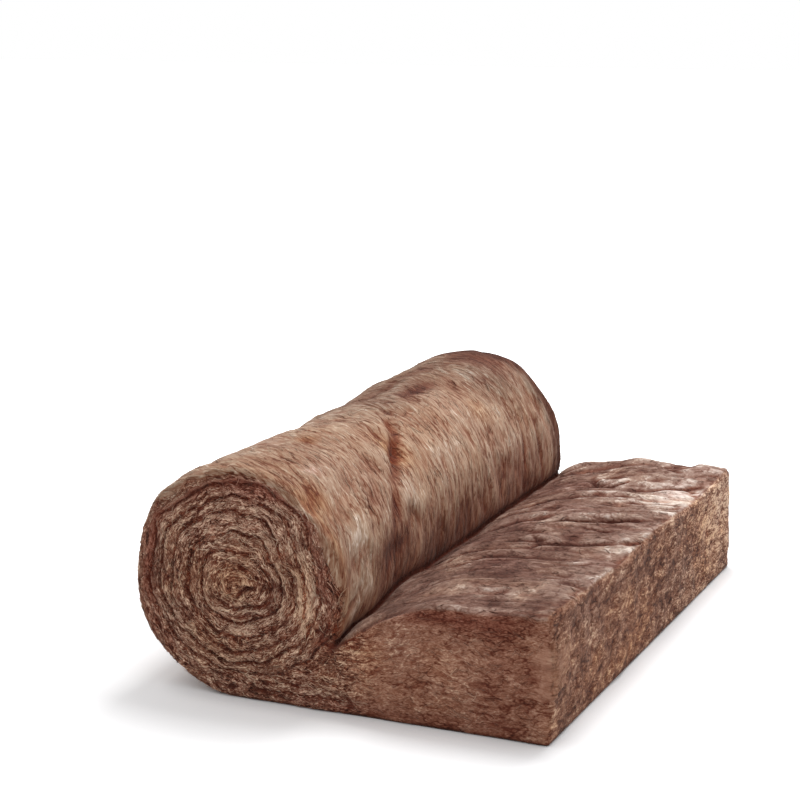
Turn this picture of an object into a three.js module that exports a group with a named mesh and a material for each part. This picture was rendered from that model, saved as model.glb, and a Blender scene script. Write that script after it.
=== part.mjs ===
// A mineral wool blanket, part unrolled: one piece, wound in a spiral at one end and laid out flat at
// the other. Millimetres, +Z up. +X is the way the laid end runs and +Y is across the blanket, which
// is along the roll but for its small skew. The origin is the middle of the footprint, on the floor.

import * as THREE from "three";
import { mergeVertices } from "three/addons/utils/BufferGeometryUtils.js";

// ---- driving dimensions ----
const blanketWidth = 1200; // across the blanket, which is the length of the roll
const laidThickness = 228; // the loose end, sprung back to its full depth
const laidReach = 605; // from the roll's axis, at its near end, to the cut end
const nearRadius = 215; // the roll at its near end, y lowest
const farRadius = 225; // and at its far end, which is wound a little looser
const skew = 21; // how far the roll's far end lies back from square
const nearCrease = 124; // height of the line where the laid end comes out from under the roll
const farCrease = 181; // and away from the near end, where the wool stands fuller
const creaseClimb = 170; // how slowly that line climbs from one height towards the other
const riseLength = 220; // over which the laid end swells from the crease to its full depth
const woundTurns = 7; // from the crease to the heart of the roll
const underLift = 48; // extra depth of the layer that the roll lies on
const edgeRound = 14; // rounding of both cut sides of the blanket, so also the depth of each seam
const cutEndRound = 10; // how far the top corner of the cut end falls back
const waistDepth = 5; // a soft dent around the roll, where it was tied
const waistPlace = 480; // of the dent, from the near end
const waistSpread = 140; // how far the dent reaches to either side
const laidWave = 4; // rise and fall of the laid end's top across the blanket
const waveLength = 520; // of that rise and fall

// ---- how fine the surface is ----
const stationsPerTurn = 36;
const laidStations = 9;
const widthSteps = 16;

const fullTurn = 2 * Math.PI;
const woundAngle = woundTurns * fullTurn;
const wedgeRise = 0.4; // radians past the crease in which the under layer reaches its lift
const thinTurn = 20; // a layer thinner than this bulges less at its edges
const bulgeAcross = [0, 0.85, 1, 0.85, 0]; // how far a layer's edge stands out, from face to face
const lastAcross = bulgeAcross.length - 1;

// The roll at a place along it: its radius with the soft dent, its axis, the height of the crease,
// and as angles how far the crease lies below the axis and the bottom of the roll past the crease.
function rollAt(y) {
  const taper = THREE.MathUtils.lerp(nearRadius, farRadius, y / blanketWidth);
  const away = (y - waistPlace) / waistSpread;
  const radius = taper - waistDepth * Math.exp(-away * away);
  const creaseHeight = THREE.MathUtils.lerp(farCrease, nearCrease, Math.exp(-y / creaseClimb));
  const creaseAngle = Math.asin((radius - creaseHeight) / radius);
  const toBottom = Math.PI / 2 - creaseAngle;
  return { radius, axis: (-skew * y) / blanketWidth, creaseHeight, creaseAngle, toBottom };
}

// The height of the laid end's top at a distance past the crease.
function laidTop({ creaseHeight }, pastCrease, y) {
  const share = Math.min(1, pastCrease / riseLength);
  const wave = laidWave * Math.sin((fullTurn * y) / waveLength) * share;
  return creaseHeight + (laidThickness - laidWave - creaseHeight) * Math.sin((share * Math.PI) / 2) + wave;
}

// A point on the roll, by its distance from the axis and the angle wound past the crease.
function onRoll({ radius, axis, creaseAngle }, distance, angle) {
  const below = creaseAngle + angle;
  return new THREE.Vector2(axis + distance * Math.cos(below), radius - distance * Math.sin(below));
}

// The seam between two turns: an even spiral, pressed in where the thick under layer lifts the roll.
function seamPoint(roll, angle) {
  const left = 1 - angle / woundAngle;
  const towardsFloor = 0.5 + 0.5 * Math.cos(angle - roll.toBottom);
  const wedge = 1 - Math.exp(-angle / wedgeRise);
  const distance = left * (roll.radius - underLift * left * towardsFloor * wedge);
  return onRoll(roll, Math.max(0, distance), angle);
}

// The outside of the blanket: flat on the floor up to the bottom of the roll, then once round it.
function outsidePoint(roll, angle) {
  const { radius, axis, toBottom } = roll;
  if (angle < toBottom) return new THREE.Vector2(axis + radius * (toBottom - angle), 0);
  return onRoll(roll, radius, angle);
}

// Where the blanket's outer face is, by the station past the crease: outside first, then the seam.
function woundFace(roll, station) {
  if (station < stationsPerTurn) return outsidePoint(roll, (station * fullTurn) / stationsPerTurn);
  const seamStation = Math.min(station - stationsPerTurn, woundTurns * stationsPerTurn);
  return seamPoint(roll, (seamStation * fullTurn) / stationsPerTurn);
}

// Shares of the laid end from its cut end to the crease: two close together for the rounding.
function laidShares(roll) {
  const length = laidReach - outsidePoint(roll, 0).x;
  const afterRounding = edgeRound / length;
  const even = Array.from({ length: laidStations }, (_, i) =>
    THREE.MathUtils.lerp(afterRounding, 1, i / laidStations),
  );
  return [0, ...even];
}

// One section of the blanket across its width at y: for each station its outer and inner face.
// Stations run from the cut end to the heart of the roll. A wound turn's inner face is the next
// turn's outer face, so neighbouring turns share their seam.
function sectionAt(y) {
  const roll = rollAt(y);
  const crease = onRoll(roll, roll.radius, 0);
  const foot = outsidePoint(roll, 0);
  const laid = laidShares(roll).map((share) => {
    const x = THREE.MathUtils.lerp(laidReach, crease.x, share);
    return {
      outer: new THREE.Vector2(THREE.MathUtils.lerp(laidReach, foot.x, share), 0),
      inner: new THREE.Vector2(x, laidTop(roll, x - crease.x, y)),
    };
  });
  const wound = Array.from({ length: (woundTurns + 1) * stationsPerTurn + 1 }, (_, station) => ({
    outer: woundFace(roll, station),
    inner: woundFace(roll, station + stationsPerTurn),
  }));
  return { laid, wound };
}

// The points across one station, from the outer face to the inner, and how far each stands back
// from the blanket's side.
function acrossStation({ outer, inner }, standsBack) {
  const thickness = outer.distanceTo(inner);
  const shoulder = thickness > 0 ? Math.min(edgeRound, thickness / 3) / thickness : 0;
  const shares = [0, shoulder, 0.5, 1 - shoulder, 1];
  const bulge = Math.min(1, thickness / thinTurn);
  return shares.map((share, i) => ({
    place: outer.clone().lerp(inner, share),
    back: Math.max(standsBack, edgeRound * (1 - bulge * bulgeAcross[i])),
  }));
}

// The cut end's top corner falls back a little.
function cutEndPoints(station) {
  const across = acrossStation(station, edgeRound);
  across[lastAcross].place.x -= cutEndRound;
  across[lastAcross - 1].place.x -= cutEndRound / 5;
  return across;
}

const corners = [];

function facet(...points) {
  const [a, b, c] = points;
  if (a.equals(b) || b.equals(c) || c.equals(a)) return;
  points.forEach((p) => corners.push(p.x, p.y, p.z));
}

function quad(a, b, c, d) {
  facet(a, b, c);
  facet(a, c, d);
}

function corner(place, y) {
  return new THREE.Vector3(place.x, y, place.y);
}

// One cut side of the blanket, with each turn's rounded edge. inwards is +1 at the near side.
function addSide(y, inwards) {
  const { laid, wound } = sectionAt(y + inwards * edgeRound);
  const rows = [cutEndPoints(laid[0])];
  [...laid.slice(1), ...wound].forEach((station) => rows.push(acrossStation(station, 0)));
  const grid = rows.map((row) => row.map(({ place, back }) => corner(place, y + inwards * back)));
  for (let i = 0; i < grid.length - 1; i += 1) {
    for (let j = 0; j < lastAcross; j += 1) {
      const [a, b] = [grid[i][j], grid[i + 1][j]];
      const [c, d] = [grid[i + 1][j + 1], grid[i][j + 1]];
      if (inwards > 0) quad(a, d, c, b);
      else quad(a, b, c, d);
    }
  }
}

// The outline of a section, clockwise seen from the near end: along the floor, round the roll, out
// along the laid end's top and down the cut end.
function outlineAt(y) {
  const { laid, wound } = sectionAt(y);
  const cutEnd = cutEndPoints(laid[0]).map(({ place }) => place);
  const floor = laid.slice(1).map(({ outer }) => outer);
  const round = wound.slice(0, stationsPerTurn + 1).map(({ outer }) => outer);
  const top = laid.slice(1).map(({ inner }) => inner);
  const loop = [cutEnd[0], ...floor, ...round, ...top.reverse(), ...cutEnd.slice(1).reverse()];
  return loop.map((place) => corner(place, y));
}

// The faces between the two cut sides.
function addFaces() {
  const places = Array.from({ length: widthSteps + 1 }, (_, i) =>
    THREE.MathUtils.lerp(edgeRound, blanketWidth - edgeRound, i / widthSteps),
  );
  const loops = places.map(outlineAt);
  for (let k = 0; k < widthSteps; k += 1) {
    const [near, far] = [loops[k], loops[k + 1]];
    near.forEach((point, m) => {
      const next = (m + 1) % near.length;
      quad(point, near[next], far[next], far[m]);
    });
  }
}

addSide(0, 1);
addSide(blanketWidth, -1);
addFaces();

const geometry = mergeVertices(
  new THREE.BufferGeometry().setAttribute("position", new THREE.Float32BufferAttribute(corners, 3)),
);
geometry.computeVertexNormals();
geometry.computeBoundingBox();

const wool = new THREE.MeshStandardMaterial({ color: 0x9a7358, roughness: 1, metalness: 0 });
const blanket = new THREE.Mesh(geometry, wool);
blanket.name = "wool_blanket";
const { min, max } = geometry.boundingBox;
blanket.position.set(-(min.x + max.x) / 2, -blanketWidth / 2, 0);

const insulationRoll = new THREE.Group();
insulationRoll.add(blanket);

export default insulationRoll;
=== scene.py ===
import math
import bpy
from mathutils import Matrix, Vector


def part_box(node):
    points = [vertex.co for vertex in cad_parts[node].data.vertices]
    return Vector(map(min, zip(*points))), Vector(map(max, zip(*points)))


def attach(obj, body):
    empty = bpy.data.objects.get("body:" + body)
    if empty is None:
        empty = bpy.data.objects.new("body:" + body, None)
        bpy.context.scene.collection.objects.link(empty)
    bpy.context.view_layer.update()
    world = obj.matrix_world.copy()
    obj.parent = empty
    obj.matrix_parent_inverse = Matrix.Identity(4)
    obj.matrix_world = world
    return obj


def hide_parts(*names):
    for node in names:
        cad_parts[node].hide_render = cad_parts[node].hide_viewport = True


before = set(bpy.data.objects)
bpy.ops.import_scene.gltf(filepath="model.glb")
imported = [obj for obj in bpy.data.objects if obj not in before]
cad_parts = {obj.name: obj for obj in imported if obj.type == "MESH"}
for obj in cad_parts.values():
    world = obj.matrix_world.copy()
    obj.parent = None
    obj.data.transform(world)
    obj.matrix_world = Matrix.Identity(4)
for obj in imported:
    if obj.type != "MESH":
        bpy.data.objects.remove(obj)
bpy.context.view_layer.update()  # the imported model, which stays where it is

from types import SimpleNamespace

import bpy
import numpy as np
from mathutils import Vector, geometry
from mathutils.bvhtree import BVHTree

fullTurn = 2 * math.pi
noiseGain = 1.7  # brings the noise to about -1 to 1
settling = 0.75  # how far a value moves towards the mean around it in one round
leastGap = 1e-4  # metres, which layers are never thinner than

# the blanket's own sizes in metres, as the solid has them
blanket = {
    "width": 1.2,
    "laidThickness": 0.228,
    "laidReach": 0.605,  # from the roll's axis, at its near end, to the cut end
    "nearRadius": 0.215,
    "farRadius": 0.225,
    "skew": 0.021,  # how far the roll's far end lies back from square
    "nearCrease": 0.124,  # height of the line where the laid end comes out from under the roll
    "farCrease": 0.181,
    "creaseClimb": 0.170,
    "riseLength": 0.220,  # from the crease to where the laid end has its full depth
    "woundTurns": 7,
    "underLift": 0.048,  # extra depth of the layer under the roll
    "wedgeRise": 0.4,
    "waistDepth": 0.005,  # the dent where the roll was tied
    "waistPlace": 0.480,
    "waistSpread": 0.140,
    "laidWave": 0.004,
    "waveLength": 0.520,
    "slabFrom": (0.20, 0.30),  # where the layers of the roll's side give way to those of the laid end
    "layerSpread": 3.6,  # how much thicker a layer gets there, and how far from the axis
    "spreadReach": 0.32,
}
boxLow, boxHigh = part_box("wool_blanket")
axisX = boxHigh.x - blanket["laidReach"]
nearY = boxLow.y
turnDepth = blanket["nearRadius"] / blanket["woundTurns"]


def ease(values, low, high):
    share = np.clip((values - low) / (high - low), 0, 1)
    return share * share * (3 - 2 * share)


def blend(first, second, share):
    return first + (second - first) * share


# 1 in the middle and next to nothing past twice the reach, from pairs of distance and reach
def bell(*pairs):
    return np.exp(-sum((distance / reach) ** 2 for distance, reach in pairs))


def gradientNoise(points, seed):
    source = np.random.default_rng(seed)
    order = source.permutation(256)
    slopes = source.normal(size=(256, 3))
    slopes /= np.linalg.norm(slopes, axis=1, keepdims=True)
    cell = np.floor(points).astype(int)
    part = points - cell
    fade = part**3 * (part * (part * 6 - 15) + 10)
    total = np.zeros(len(points))
    for corner in np.ndindex(2, 2, 2):
        at = (cell + corner) & 255
        pick = order[(order[(order[at[:, 0]] + at[:, 1]) & 255] + at[:, 2]) & 255]
        weight = np.prod(np.where(corner, fade, 1 - fade), axis=1)
        total += weight * np.sum((part - corner) * slopes[pick], axis=1)
    return total * noiseGain


# noise of about -1 to 1. size is one cell in metres, or one for each direction.
def noise(points, size, seed, octaves=3, fade=0.5):
    cells = np.asarray(points) / np.asarray(size)
    total = sum(gradientNoise(cells * 2**k, seed + k) * fade**k for k in range(octaves))
    return total / sum(fade**k for k in range(octaves))


# noise from a pair of its height and size
def uneven(look, points, seed, octaves=2, fade=0.5):
    height, size = look
    return height * noise(points, size, seed, octaves, fade)


# how far a place is past the roll, on the laid end's side
def slabShare(fromX):
    return ease(fromX, *blanket["slabFrom"])


# the roll at a place along it, with every length from its own axis
def rollAt(y):
    taper = blend(blanket["nearRadius"], blanket["farRadius"], y / blanket["width"])
    waist = bell((y - blanket["waistPlace"], blanket["waistSpread"]))
    radius = taper - blanket["waistDepth"] * waist
    towardsNear = np.exp(-y / blanket["creaseClimb"])
    creaseHeight = blend(blanket["farCrease"], blanket["nearCrease"], towardsNear)
    creaseAngle = np.arcsin((radius - creaseHeight) / radius)
    return SimpleNamespace(
        radius=radius,
        axis=-blanket["skew"] * y / blanket["width"],
        creaseHeight=creaseHeight,
        creaseAngle=creaseAngle,
        creaseX=radius * np.cos(creaseAngle),
        bottomAngle=math.pi / 2 - creaseAngle,
    )


# the height of the laid end's top
def laidTop(roll, pastCrease, y):
    share = np.clip(pastCrease / blanket["riseLength"], 0, 1)
    rise = blanket["laidThickness"] - blanket["laidWave"] - roll.creaseHeight
    wave = blanket["laidWave"] * np.sin(fullTurn * y / blanket["waveLength"]) * share
    return roll.creaseHeight + rise * np.sin(share * math.pi / 2) + wave


# how far the seam between two turns is from the axis, at an angle wound past the crease
def seamDistance(radius, bottomAngle, angle):
    left = 1 - angle / (fullTurn * blanket["woundTurns"])
    towardsFloor = 0.5 + 0.5 * np.cos(angle - bottomAngle)
    wedge = 1 - np.exp(-angle / blanket["wedgeRise"])
    return left * (radius - blanket["underLift"] * left * towardsFloor * wedge)


body = {
    "columns": 240,  # along the roll
    "nearCrowding": 0.25,  # how much closer they lie at the near side than on average
    "sideSpacing": 0.0034,  # between points on the two cut sides
    "crowding": 0.8,  # how much closer points lie beside the crease
    "crowdReach": 0.05,
    "topRound": 0.014,  # corner between the laid end's top and its cut end
    "bottomRound": 0.006,
    "edgeLow": 0.005,  # rounding of the sides' edges at the floor
    "edgeHigh": 0.015,  # and from this height up
    "edgeRise": 0.05,
    "rowStep": 0.866,  # between rows of side points, as a share of their spacing
    "jitter": 0.15,
    "ringGap": 0.55,  # kept free inside the edge
    "wedgePoints": 60,  # of the curve over the wedge under the roll
}
# the outline's stretches: name, pieces along it, and finer pieces in each at the two sides
stretches = [
    ("floor", 10, 6),
    ("roll", 112, 2),
    ("laid", 44, 2),
    ("topCorner", 4, 1),
    ("cutEnd", 38, 1),
    ("bottomCorner", 3, 1),
]


# shares with their first few closer together, which are those at the crease
def closerToStart(share):
    return share * (1 - body["crowding"] * np.exp(-share / body["crowdReach"]))


# x and z of points on the outline, by stretch and share along it
def outlinePlace(stretch, share, y):
    roll = rollAt(y)
    reach, high, low = blanket["laidReach"], body["topRound"], body["bottomRound"]
    crease = roll.axis + roll.creaseX
    cornerZ = laidTop(roll, reach - high - crease, y) - high
    below = roll.creaseAngle + blend(roll.bottomAngle, fullTurn, share)
    laidX = blend(crease, reach - high, share)
    quarter = share * math.pi / 2
    places = {
        "floor": (blend(reach - low, roll.axis, share), 0 * y),
        "roll": (roll.axis + roll.radius * np.cos(below), roll.radius * (1 - np.sin(below))),
        "laid": (laidX, laidTop(roll, laidX - crease, y)),
        "topCorner": (reach - high + high * np.sin(quarter), cornerZ + high * np.cos(quarter)),
        "cutEnd": (reach + 0 * y, blend(cornerZ, low, share)),
        "bottomCorner": (reach - low + low * np.cos(quarter), low - low * np.sin(quarter)),
    }
    x, z = np.zeros(len(y)), np.zeros(len(y))
    for index, (name, _, _) in enumerate(stretches):
        here = stretch == index
        x[here], z[here] = places[name][0][here], places[name][1][here]
    return x, z


# every fine point of the outline: its stretch, its share along it and whether it is a coarse point too
def outlineStations():
    rows = []
    for index, (name, pieces, finer) in enumerate(stretches):
        count = pieces * finer
        share = np.arange(count) / count
        if name == "roll":
            share = 1 - closerToStart(1 - share)
        if name == "laid":
            share = closerToStart(share)
        rows += [(index, share[k], k % finer == 0) for k in range(count)]
    stretch, share, coarse = (np.array(column) for column in zip(*rows))
    return stretch, share, coarse


def pointInLoop(points, loop):
    inside = np.zeros(len(points), bool)
    for (x1, z1), (x2, z2) in zip(loop, np.roll(loop, -1, axis=0)):
        if z1 == z2:
            continue
        crosses = (points[:, 1] < z1) != (points[:, 1] < z2)
        inside ^= crosses & (points[:, 0] < x1 + (x2 - x1) * (points[:, 1] - z1) / (z2 - z1))
    return inside


def distanceToLoop(points, loop):
    nearest = np.full(len(points), 1.0)
    for start, end in zip(loop, np.roll(loop, -1, axis=0)):
        step = end - start
        share = np.clip((points - start) @ step / (step @ step), 0, 1)
        nearest = np.minimum(nearest, np.linalg.norm(points - start - share[:, None] * step, axis=1))
    return nearest


# the inner points and triangles of one cut side
def sidePoints(loop, seed):
    spacing = body["sideSpacing"]
    source = np.random.default_rng(seed)
    low, high = loop.min(axis=0), loop.max(axis=0)
    rows = np.arange(low[1], high[1], spacing * body["rowStep"])
    columns = np.arange(low[0], high[0], spacing)
    z, x = np.meshgrid(rows, columns, indexing="ij")
    x = x + spacing / 2 * (np.arange(len(rows)) % 2)[:, None]
    points = np.stack([x.ravel(), z.ravel()], axis=1)
    points += source.uniform(-body["jitter"], body["jitter"], points.shape) * spacing
    points = points[pointInLoop(points, loop)]
    away = distanceToLoop(points, loop)
    keep = away > spacing * body["ringGap"]
    points, away = points[keep], away[keep]
    flat = [Vector(p) for p in np.concatenate([loop, points])]
    faces = geometry.delaunay_2d_cdt(flat, [], [list(range(len(loop)))], 1, 1e-7, False)[2]
    triangles = np.array(faces)
    corners = np.concatenate([loop, points])[triangles]
    inside = pointInLoop(corners.mean(axis=1), loop)  # the hollow at the crease stays open
    triangles, corners = triangles[inside], corners[inside]
    first, second = corners[:, 1] - corners[:, 0], corners[:, 2] - corners[:, 0]
    clockwise = first[:, 0] * second[:, 1] - first[:, 1] * second[:, 0] < 0
    triangles[clockwise] = triangles[clockwise][:, ::-1]
    return points, away, triangles


def edgeRound(z):
    return blend(body["edgeLow"], body["edgeHigh"], ease(z, 0.0, body["edgeRise"]))


# how far a side falls back at a distance from its edge
def edgeDrop(away, z):
    rounding = edgeRound(z)
    left = np.clip(1 - away / rounding, 0, 1)
    return rounding * (1 - np.sqrt(1 - left * left))


# triangles between a fine edge ring and the coarse ring next to it
def edgeFan(fine, plain, starts):
    count, fan = len(fine), []
    for index, start in enumerate(starts):
        end = starts[index + 1] if index + 1 < len(starts) else count
        here, following = plain[index], plain[(index + 1) % len(plain)]
        half = (start + end + 1) // 2
        for k in range(start, end):
            if k == half:
                fan.append((fine[k], following, here))
            fan.append((here if k < half else following, fine[k], fine[(k + 1) % count]))
        if half == end:
            fan.append((fine[end % count], following, here))
    return np.array(fan)


# the plain closed shape: x from the roll's axis, y from the near side, z up, with faces that point out
def plainBody():
    stretch, share, coarse = outlineStations()
    fineCount, last = len(stretch), body["columns"]
    width = blanket["width"]
    middle = outlinePlace(stretch, share, np.full(fineCount, width / 2))[1]
    setBack = edgeRound(middle)
    points, faces = [], []

    def addPoints(x, y, z):
        start = sum(len(p) for p in points)
        points.append(np.stack([x, y, z], axis=1))
        return np.arange(start, start + len(x))

    rings = []
    for column in range(last + 1):
        chosen = np.ones(fineCount, bool) if column in (0, last) else coarse
        along = column / last
        along = along * (1 - body["nearCrowding"] * (1 - along))
        y = blend(setBack, width - setBack, along)[chosen]
        x, z = outlinePlace(stretch[chosen], share[chosen], y)
        rings.append(addPoints(x, y, z))
    for near, far in zip(rings[1:-2], rings[2:-1]):
        faces.append(np.stack([near, np.roll(near, -1), np.roll(far, -1), far], axis=1))
    starts = np.flatnonzero(coarse)
    faces.append(edgeFan(rings[0], rings[1], starts))
    faces.append(edgeFan(rings[-1], rings[-2], starts)[:, ::-1])

    for ring, seed, isFar in ((rings[0], 11, False), (rings[-1], 12, True)):
        loop = np.concatenate(points)[ring][:, [0, 2]]
        inner, away, triangles = sidePoints(loop, seed)
        drop = edgeDrop(away, inner[:, 1])
        y = width - drop if isFar else drop
        added = addPoints(inner[:, 0], y, inner[:, 1])
        triangles = np.concatenate([ring, added])[triangles]
        faces.append(triangles[:, ::-1] if isFar else triangles)
    return np.concatenate(points), faces


def meshFrom(name, points, faces):
    mesh = bpy.data.meshes.new(name)
    corners = np.concatenate([f.ravel() for f in faces])
    sizes = np.concatenate([np.full(len(f), f.shape[1]) for f in faces])
    starts = np.concatenate([[0], np.cumsum(sizes)[:-1]])
    mesh.vertices.add(len(points))
    mesh.vertices.foreach_set("co", np.asarray(points, np.float32).ravel())
    mesh.loops.add(len(corners))
    mesh.loops.foreach_set("vertex_index", corners.astype(np.int32))
    mesh.polygons.add(len(starts))
    mesh.polygons.foreach_set("loop_start", starts.astype(np.int32))
    mesh.update(calc_edges=True)
    mesh.shade_smooth()
    return mesh


def vertexNormals(mesh):
    normals = np.zeros(len(mesh.vertices) * 3, np.float32)
    mesh.vertices.foreach_get("normal", normals)
    return normals.reshape(-1, 3).astype(float)


# each pair of joined points once
def linksOf(faces):
    pairs = [np.stack([f, np.roll(f, -1, axis=1)], axis=2).reshape(-1, 2) for f in faces]
    return np.unique(np.sort(np.concatenate(pairs), axis=1), axis=0)


def smoothed(values, links, rounds):
    first, second = links.T
    total = len(values)
    joined = np.bincount(links.ravel(), minlength=total)
    for _ in range(rounds):
        around = np.bincount(first, values[second], total) + np.bincount(second, values[first], total)
        values = blend(values, around / joined, settling)
    return values


# Layers of the wound wool, seen on the cut sides. Gives the turn that a point is in (-1 to 0 in the
# outermost layer, 0 to 7 further in), the depth through the layers in metres, which runs on smoothly
# round the roll and out into the laid end, where the blanket is laid, and how far in from the skin.
def layersAt(x, y, z):
    roll, middle = rollAt(y), rollAt(float(np.mean(y)))
    x = x - roll.axis
    angle = np.mod(np.arctan2(roll.radius - z, x) - roll.creaseAngle, fullTurn)
    distance = np.hypot(x, roll.radius - z)
    turns = np.arange(blanket["woundTurns"] + 1)
    wound = angle[:, None] + fullTurn * turns
    seams = seamDistance(roll.radius[:, None], roll.bottomAngle[:, None], wound)
    gaps = np.maximum(seams[:, :-1] - seams[:, 1:], leastGap)
    turn = np.clip((seams[:, :-1] - distance[:, None]) / gaps, 0, 1).sum(axis=1)
    outerGap = np.maximum(roll.radius - seams[:, 0], leastGap)
    outer = np.clip((roll.radius - distance) / outerGap, 0, 1)
    turn = np.where(distance > seams[:, 0], outer - 1, turn)

    # the laid end and the wedge under the roll are measured up from the floor
    curve = np.linspace(middle.bottomAngle, 0, body["wedgePoints"])
    out = seamDistance(middle.radius, middle.bottomAngle, curve)
    below = middle.creaseAngle + curve
    ceiling = np.interp(x, out * np.cos(below), middle.radius - out * np.sin(below))
    free = x > roll.creaseX
    ceiling = np.where(free, laidTop(roll, x - roll.creaseX, 0 * x), ceiling)
    laid = (x > 0) & (z < ceiling) & (free | (z < roll.radius))
    share = np.clip(z / ceiling, 0, 1)
    turn = np.where(laid, share - 1, turn)
    floorAngle = np.clip(roll.bottomAngle - x / roll.radius, 0, None)
    justBefore = 0.75 * fullTurn  # past this, an angle is one just before the crease
    past = np.where(angle > justBefore, 0, angle)
    angle = np.where(laid, blend(floorAngle, np.where(free, 0, past), share), angle)
    spread = 1 + blanket["layerSpread"] * np.where(laid, ease(x, 0.0, blanket["spreadReach"]), 0)
    underSkin = np.where(laid & ~free, 1.0, np.where(laid, ceiling - z, roll.radius - distance))
    return turn, (turn + 1 + angle / fullTurn) * turnDepth * spread, laid, underSkin


# how a cut side stands out. Pairs are a height and the size of one swelling.
sideLook = {
    "wander": [(0.016, 0.110), (0.0062, 0.036), (0.0016, 0.013)],  # how the layers stray, coarse to fine
    "freeFrom": 0.04,  # height from which they stray up and down too
    "acrossStretch": 0.25,  # how much slower it all changes across the width
    "woundFrom": (-0.55, -0.2),  # the turn at which grooves start
    "beforeCrease": 0.03,  # and how far from the crease they end
    "grooveDepth": 0.009,
    "grooveWidth": 0.20,  # share of a turn's half that falls towards its seam
    "grooveOpen": 0.02,  # of a seam where nothing opens it more
    "grooveRagged": 1.10,
    "grooveMost": 1.4,
    "gapeWidth": 0.07,  # share of the radius
    "bulge": 0.0035,
    "strata": (0.0025, 0.0075),
    "strataStretch": 0.22,  # how much longer than thick the strata run, as a share
    "cracks": 0.0036,
    "crackSize": 0.017,
    "crackWidth": 0.09,
    "crackPatches": (-0.35, 0.35),  # noise from which they open, and are fully open
    "crackShade": 0.6,  # painted shade: how dark a crack is painted, as a share of a groove's
    "patchSize": 0.05,  # of the places where seams and cracks open
    "clumps": (0.0032, 0.034),
    "slabCalm": 0.50,  # how much smoother the laid end's side is
    "swell": (0.005, 0.11),
    "turnStep": 0.004,  # how much further out one turn stands than the next
    "stepScale": (3.7, 6),  # cells of that step's noise for each turn and each metre
    "heartReach": 0.045,  # so far from the axis the wool is loose tufts
    "heartBlur": (0.5, 1.3),  # shares of that where they start to end and have ended
    "heartTufts": 0.005,
    "heartRise": 0.4,  # how far the heart stands out as a whole, as a share of its tufts
    "heartScale": 0.6,  # of its strata's noise
    "tuftSize": 0.015,
    "hollowDepth": 0.016,  # the small hollow beside the heart
    "hollowPlace": (0.020, -0.010),
    "hollowSize": (0.016, 0.006),
    "lapLeast": 0.0015,  # how far the pale skin laps over the edge everywhere
    "lapRagged": 0.9,
    "lapSize": 0.045,
    "lapBlur": 0.0025,
    "rimReach": (0.018, 0.042),  # from the skin to where the smooth wool inside it ends
}
# where the skin laps further: degrees round the axis, spread, reach
skinLaps = [(62, 28, 0.012), (15, 40, 0.004), (-60, 40, 0.003)]
# seams that gape: share of the radius, degrees round the axis from the laid end's side, spread, strength
gaping = [
    (0.33, 180, 45, 0.6),
    (0.54, 172, 45, 0.6),
    (0.69, 192, 42, 1.1),
    (0.86, 205, 50, 0.5),
    (0.39, 5, 50, 0.9),
    (0.60, 60, 40, 0.5),
    (0.90, 20, 60, 0.7),
    (0.18, -90, 50, 0.6),
    (0.35, -95, 45, 0.6),
    (0.68, -80, 50, 0.7),
    (0.93, -70, 40, 0.6),
    (0.87, 122, 24, 1.1),
    (0.49, 88, 16, 1.0),
]


# degrees round the axis from one angle to another, -180 to 180
def turnedFrom(angle, start):
    return (angle - start + 180) % 360 - 180


# grooves between the turns, ragged and wider where the seams gape
def grooves(place, nearSeam, share, angle, seed):
    ragged = noise(place, sideLook["patchSize"], seed + 12, octaves=3)
    opened = sideLook["grooveOpen"] + sideLook["grooveRagged"] * ragged
    for middle, degrees, spread, strength in gaping:
        across = (share - middle, sideLook["gapeWidth"])
        opened = opened + strength * bell(across, (turnedFrom(angle, degrees), spread))
    falls = ease(nearSeam, 1 - sideLook["grooveWidth"], 1.0)
    return np.clip(opened, 0, sideLook["grooveMost"]) * falls


# the small slanting hollow beside the heart
def hollowed(fromX, fromZ):
    placeX, placeZ = sideLook["hollowPlace"]
    x, z = fromX - placeX, fromZ - placeZ
    long, short = sideLook["hollowSize"]
    diagonal = 1.414
    return bell(((x + z) / diagonal, long), ((x - z) / diagonal, short))


# 0 where the skin laps over the side, 1 further in
def insideLap(place, underSkin, angle, seed):
    lap = sideLook["lapLeast"] + 0 * angle
    for degrees, spread, reach in skinLaps:
        lap = lap + reach * bell((turnedFrom(angle, degrees), spread))
    lap = lap * (1 + sideLook["lapRagged"] * noise(place, sideLook["lapSize"], seed + 26, octaves=3))
    return ease(underSkin, lap - sideLook["lapBlur"], lap + sideLook["lapBlur"])
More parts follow.
